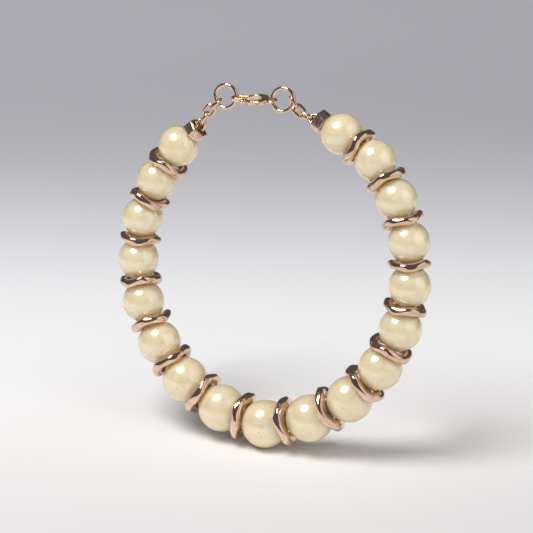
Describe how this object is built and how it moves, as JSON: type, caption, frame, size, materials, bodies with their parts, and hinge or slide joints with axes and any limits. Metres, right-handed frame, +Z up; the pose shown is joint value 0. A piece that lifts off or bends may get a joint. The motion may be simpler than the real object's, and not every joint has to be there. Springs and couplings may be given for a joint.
{
  "type": "pearl bracelet",
  "caption": "Graduated imitation pearl bracelet with wavy rose gold spacer rings, hexagonal end caps, short chains and a claw clasp",
  "frame": {"origin": "under the middle of the clasp, at the top of the loop, where a peg holds it up", "axes": "+X along the loop to the right, +Y to the back, +Z up; the loop leans back at its top"},
  "size_m": [0.0644, 0.0186, 0.0682],
  "materials": {
    "pearl": "cream pearl lacquer, satin gloss",
    "rose_gold": "polished rose gold plate",
    "pale_gold": "polished pale gold plate",
    "thread": "clear nylon"
  },
  "bodies": {
    "bracelet": {"pearl_01": "pearl", "pearl_02": "pearl", "pearl_03": "pearl", "pearl_04": "pearl", "pearl_05": "pearl", "pearl_06": "pearl", "pearl_07": "pearl", "pearl_08": "pearl", "pearl_09": "pearl", "pearl_10": "pearl", "pearl_11": "pearl", "pearl_12": "pearl", "pearl_13": "pearl", "pearl_14": "pearl", "pearl_15": "pearl", "pearl_16": "pearl", "pearl_17": "pearl", "pearl_18": "pearl", "spacer_ring_01": "rose_gold", "spacer_ring_02": "rose_gold", "spacer_ring_03": "rose_gold", "spacer_ring_04": "rose_gold", "spacer_ring_05": "rose_gold", "spacer_ring_06": "rose_gold", "spacer_ring_07": "rose_gold", "spacer_ring_08": "rose_gold", "spacer_ring_09": "rose_gold", "spacer_ring_10": "rose_gold", "spacer_ring_11": "rose_gold", "spacer_ring_12": "rose_gold", "spacer_ring_13": "rose_gold", "spacer_ring_14": "rose_gold", "spacer_ring_15": "rose_gold", "spacer_ring_16": "rose_gold", "spacer_ring_17": "rose_gold", "end_cap_left": "rose_gold", "end_cap_right": "rose_gold", "chain_link_left_01": "pale_gold", "chain_link_left_02": "pale_gold", "chain_link_left_03": "pale_gold", "chain_link_left_04": "pale_gold", "chain_link_right_01": "pale_gold", "chain_link_right_02": "pale_gold", "chain_link_right_03": "pale_gold", "chain_link_right_04": "pale_gold", "jump_ring_left": "pale_gold", "jump_ring_right": "pale_gold", "clasp_body": "pale_gold", "clasp_pin": "pale_gold", "stringing_thread": "thread"},
    "lever": {"clasp_lever": "pale_gold"}
  },
  "joints": [
    {"name": "clasp_lever_pivot", "type": "hinge", "parent": "bracelet", "child": "lever", "pos_m": [0.00133, -0.00122, 0.00032], "axis": [0.0514, 0.136, -0.9894], "range_deg": [0, 13], "stiffness_Nm_per_rad": 0.0005, "springref_deg": -20.05}
  ]
}
